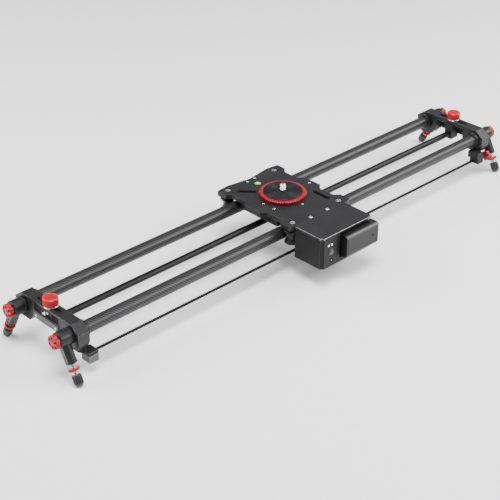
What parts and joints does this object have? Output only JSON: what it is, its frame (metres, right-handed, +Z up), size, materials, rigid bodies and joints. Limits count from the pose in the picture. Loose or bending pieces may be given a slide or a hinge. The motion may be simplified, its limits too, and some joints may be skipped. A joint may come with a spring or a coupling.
{
  "type": "camera slider",
  "caption": "Belt-driven camera slider: twin carbon rails, a roller carriage with a pan platform turned by a tracking rod, a motor box with battery, and splayed folding legs.",
  "frame": {"origin": "on the ground that the four feet stand on, midway between the end brackets and midway between the two rails", "axes": "+X along the rails, towards the belt tension knob; +Y across them, away from the motor box; +Z up"},
  "size_m": [1.0086, 0.259, 0.1124],
  "materials": {
    "bracket_anodised": "bead-blasted anodised, near black",
    "plate_anodised": "fine matte anodised, dark grey",
    "carbon_tube": "clear-coated woven carbon fibre",
    "collar_black": "satin black",
    "scale_grey": "satin grey with engraved graduations",
    "screw_steel": "bright zinc",
    "arm_black": "matte black",
    "clamp_grey": "machined grey",
    "belt_rubber": "matte toothed rubber",
    "red_anodised": "bright red anodised",
    "ring_red": "deep red anodised, ribbed",
    "leg_anodised": "satin dark grey anodised",
    "foot_rubber": "matte rubber on a zinc stud",
    "rod_black": "gloss black",
    "roller_black": "moulded black",
    "level_green": "clear vial with green fluid",
    "box_black": "fine-grained moulded black",
    "panel_black": "smooth black",
    "board_green": "solder mask",
    "led_white": "lit diffuser",
    "battery_grey": "semi-gloss dark grey",
    "motor_steel": "plain steel",
    "guide_grey": "acetal",
    "platform_black": "satin black with a rubber face"
  },
  "bodies": {
    "frame": {"bracket_left": "bracket_anodised", "bracket_right": "bracket_anodised", "rail_front": "carbon_tube", "rail_rear": "carbon_tube", "rail_collars": "collar_black", "scale_plates": "scale_grey", "frame_fasteners": "screw_steel", "belt_arm_left": "arm_black", "belt_clamp_left": "clamp_grey", "belt_arm_right": "arm_black", "drive_belt": "belt_rubber"},
    "tension_knob": {"tension_knob": "red_anodised"},
    "leg_left_front": {"leg_left_front": "leg_anodised"},
    "pivot_knob_left_front": {"pivot_knob_left_front": "red_anodised"},
    "foot_left_front": {"foot_left_front": "foot_rubber"},
    "lock_ring_left_front": {"lock_ring_left_front": "red_anodised"},
    "leg_left_rear": {"leg_left_rear": "leg_anodised"},
    "pivot_knob_left_rear": {"pivot_knob_left_rear": "red_anodised"},
    "foot_left_rear": {"foot_left_rear": "foot_rubber"},
    "lock_ring_left_rear": {"lock_ring_left_rear": "red_anodised"},
    "leg_right_front": {"leg_right_front": "leg_anodised"},
    "pivot_knob_right_front": {"pivot_knob_right_front": "red_anodised"},
    "foot_right_front": {"foot_right_front": "foot_rubber"},
    "lock_ring_right_front": {"lock_ring_right_front": "red_anodised"},
    "leg_right_rear": {"leg_right_rear": "leg_anodised"},
    "pivot_knob_right_rear": {"pivot_knob_right_rear": "red_anodised"},
    "foot_right_rear": {"foot_right_rear": "foot_rubber"},
    "lock_ring_right_rear": {"lock_ring_right_rear": "red_anodised"},
    "tracking_rod": {"tracking_rod": "rod_black", "rod_block_left": "arm_black", "rod_block_right": "arm_black", "rod_clamp_screws": "screw_steel"},
    "clamp_knob_left": {"clamp_knob_left": "red_anodised"},
    "clamp_knob_right": {"clamp_knob_right": "red_anodised"},
    "carriage": {"carriage_plate": "plate_anodised", "carriage_frame": "arm_black", "axle_bolts": "screw_steel", "bubble_level": "level_green", "plate_screws": "screw_steel", "motor_housing": "box_black", "housing_cover": "box_black", "control_panel": "panel_black", "circuit_board": "board_green", "status_leds": "led_white", "battery_plate": "box_black", "gear_motor": "motor_steel"},
    "roller_left_front": {"roller_left_front": "roller_black"},
    "roller_left_rear": {"roller_left_rear": "roller_black"},
    "roller_right_front": {"roller_right_front": "roller_black"},
    "roller_right_rear": {"roller_right_rear": "roller_black"},
    "drive_pulley": {"drive_pulley": "motor_steel"},
    "idler_left": {"idler_left": "motor_steel"},
    "idler_right": {"idler_right": "motor_steel"},
    "battery": {"battery": "battery_grey"},
    "power_button": {"power_button": "panel_black"},
    "guide_block": {"guide_block": "guide_grey"},
    "pan": {"pan_shaft": "motor_steel", "pan_ring": "ring_red", "head_platform": "platform_black", "head_stud": "screw_steel"}
  },
  "joints": [
    {"name": "leg_fold_left_front", "type": "hinge", "parent": "frame", "child": "leg_left_front", "pos_m": [-0.4862, -0.0565, 0.0664], "axis": [1, 0, 0], "range_deg": [-61.5, 58.5]},
    {"name": "pivot_knob_turn_left_front", "type": "hinge", "parent": "frame", "child": "pivot_knob_left_front", "pos_m": [-0.4862, -0.0565, 0.0664], "axis": [1, 0, 0], "continuous": true},
    {"name": "foot_adjust_left_front", "type": "slide", "parent": "leg_left_front", "child": "foot_left_front", "axis": [0, -0.4772, -0.8788], "range_m": [-0.0064, 0.008]},
    {"name": "lock_ring_turn_left_front", "type": "hinge", "parent": "foot_left_front", "child": "lock_ring_left_front", "pos_m": [-0.4862, -0.08848, 0.0075], "axis": [0, -0.4772, -0.8788], "continuous": true},
    {"name": "leg_fold_left_rear", "type": "hinge", "parent": "frame", "child": "leg_left_rear", "pos_m": [-0.4862, 0.0565, 0.0664], "axis": [1, 0, 0], "range_deg": [-58.5, 61.5]},
    {"name": "pivot_knob_turn_left_rear", "type": "hinge", "parent": "frame", "child": "pivot_knob_left_rear", "pos_m": [-0.4862, 0.0565, 0.0664], "axis": [1, 0, 0], "continuous": true},
    {"name": "foot_adjust_left_rear", "type": "slide", "parent": "leg_left_rear", "child": "foot_left_rear", "axis": [0, 0.4772, -0.8788], "range_m": [-0.0064, 0.008]},
    {"name": "lock_ring_turn_left_rear", "type": "hinge", "parent": "foot_left_rear", "child": "lock_ring_left_rear", "pos_m": [-0.4862, 0.08848, 0.0075], "axis": [0, 0.4772, -0.8788], "continuous": true},
    {"name": "leg_fold_right_front", "type": "hinge", "parent": "frame", "child": "leg_right_front", "pos_m": [0.4862, -0.0565, 0.0664], "axis": [1, 0, 0], "range_deg": [-61.5, 58.5]},
    {"name": "pivot_knob_turn_right_front", "type": "hinge", "parent": "frame", "child": "pivot_knob_right_front", "pos_m": [0.4862, -0.0565, 0.0664], "axis": [1, 0, 0], "continuous": true},
    {"name": "foot_adjust_right_front", "type": "slide", "parent": "leg_right_front", "child": "foot_right_front", "axis": [0, -0.4772, -0.8788], "range_m": [-0.0064, 0.008]},
    {"name": "lock_ring_turn_right_front", "type": "hinge", "parent": "foot_right_front", "child": "lock_ring_right_front", "pos_m": [0.4862, -0.08848, 0.0075], "axis": [0, -0.4772, -0.8788], "continuous": true},
    {"name": "leg_fold_right_rear", "type": "hinge", "parent": "frame", "child": "leg_right_rear", "pos_m": [0.4862, 0.0565, 0.0664], "axis": [1, 0, 0], "range_deg": [-58.5, 61.5]},
    {"name": "pivot_knob_turn_right_rear", "type": "hinge", "parent": "frame", "child": "pivot_knob_right_rear", "pos_m": [0.4862, 0.0565, 0.0664], "axis": [1, 0, 0], "continuous": true},
    {"name": "foot_adjust_right_rear", "type": "slide", "parent": "leg_right_rear", "child": "foot_right_rear", "axis": [0, 0.4772, -0.8788], "range_m": [-0.0064, 0.008]},
    {"name": "lock_ring_turn_right_rear", "type": "hinge", "parent": "foot_right_rear", "child": "lock_ring_right_rear", "pos_m": [0.4862, 0.08848, 0.0075], "axis": [0, 0.4772, -0.8788], "continuous": true},
    {"name": "tension_knob_turn", "type": "hinge", "parent": "frame", "child": "tension_knob", "pos_m": [0.4678, -0.076, 0.034], "axis": [1, 0, 0], "continuous": true},
    {"name": "rod_shift", "type": "slide", "parent": "frame", "child": "tracking_rod", "axis": [0, 1, 0], "range_m": [-0.022, 0.022]},
    {"name": "clamp_knob_turn_left", "type": "hinge", "parent": "tracking_rod", "child": "clamp_knob_left", "pos_m": [-0.463, 0, 0.0874], "axis": [0, 0, 1], "continuous": true},
    {"name": "clamp_knob_turn_right", "type": "hinge", "parent": "tracking_rod", "child": "clamp_knob_right", "pos_m": [0.463, 0, 0.0874], "axis": [0, 0, 1], "continuous": true},
    {"name": "carriage_slide", "type": "slide", "parent": "frame", "child": "carriage", "axis": [1, 0, 0], "range_m": [-0.385, 0.361]},
    {"name": "roller_spin_left_front", "type": "hinge", "parent": "carriage", "child": "roller_left_front", "pos_m": [-0.042, -0.076, 0.0664], "axis": [0, 0, 1], "range_deg": [-2580, 2580]},
    {"name": "roller_spin_left_rear", "type": "hinge", "parent": "carriage", "child": "roller_left_rear", "pos_m": [-0.042, 0.076, 0.0664], "axis": [0, 0, 1], "range_deg": [-2580, 2580]},
    {"name": "roller_spin_right_front", "type": "hinge", "parent": "carriage", "child": "roller_right_front", "pos_m": [0.066, -0.076, 0.0664], "axis": [0, 0, 1], "range_deg": [-2580, 2580]},
    {"name": "roller_spin_right_rear", "type": "hinge", "parent": "carriage", "child": "roller_right_rear", "pos_m": [0.066, 0.076, 0.0664], "axis": [0, 0, 1], "range_deg": [-2580, 2580]},
    {"name": "pulley_spin", "type": "hinge", "parent": "carriage", "child": "drive_pulley", "pos_m": [0.012, -0.068, 0.0427], "axis": [0, 1, 0], "range_deg": [-1900, 1900]},
    {"name": "idler_spin_left", "type": "hinge", "parent": "carriage", "child": "idler_left", "pos_m": [-0.0053, -0.068, 0.0234], "axis": [0, 1, 0], "range_deg": [-3460, 3460]},
    {"name": "idler_spin_right", "type": "hinge", "parent": "carriage", "child": "idler_right", "pos_m": [0.0293, -0.068, 0.0234], "axis": [0, 1, 0], "range_deg": [-3460, 3460]},
    {"name": "battery_release", "type": "slide", "parent": "carriage", "child": "battery", "axis": [1, 0, 0], "range_m": [0, 0.03]},
    {"name": "power_button_press", "type": "slide", "parent": "carriage", "child": "power_button", "axis": [0, 1, 0], "range_m": [0, 0.001], "stiffness_N_per_m": 400},
    {"name": "guide_shift", "type": "slide", "parent": "carriage", "child": "guide_block", "axis": [0, 1, 0], "range_m": [-0.022, 0.022]},
    {"name": "pan_turn", "type": "hinge", "parent": "carriage", "child": "pan", "pos_m": [0.012, 0, 0.0924], "axis": [0, 0, 1], "range_deg": [-39, 39]}
  ],
  "couplings": [
    {"joint": "roller_spin_left_front", "follows": "carriage_slide", "rad_per_m": 116.28},
    {"joint": "roller_spin_left_rear", "follows": "carriage_slide", "rad_per_m": -116.28},
    {"joint": "roller_spin_right_front", "follows": "carriage_slide", "rad_per_m": 116.28},
    {"joint": "roller_spin_right_rear", "follows": "carriage_slide", "rad_per_m": -116.28},
    {"joint": "pulley_spin", "follows": "carriage_slide", "rad_per_m": 85.47},
    {"joint": "idler_spin_left", "follows": "carriage_slide", "rad_per_m": -156.25},
    {"joint": "idler_spin_right", "follows": "carriage_slide", "rad_per_m": -156.25},
    {"joint": "guide_shift", "follows": "rod_shift", "ratio": 1},
    {"joint": "pan_turn", "follows": "rod_shift", "rad_per_m": 30.441}
  ]
}
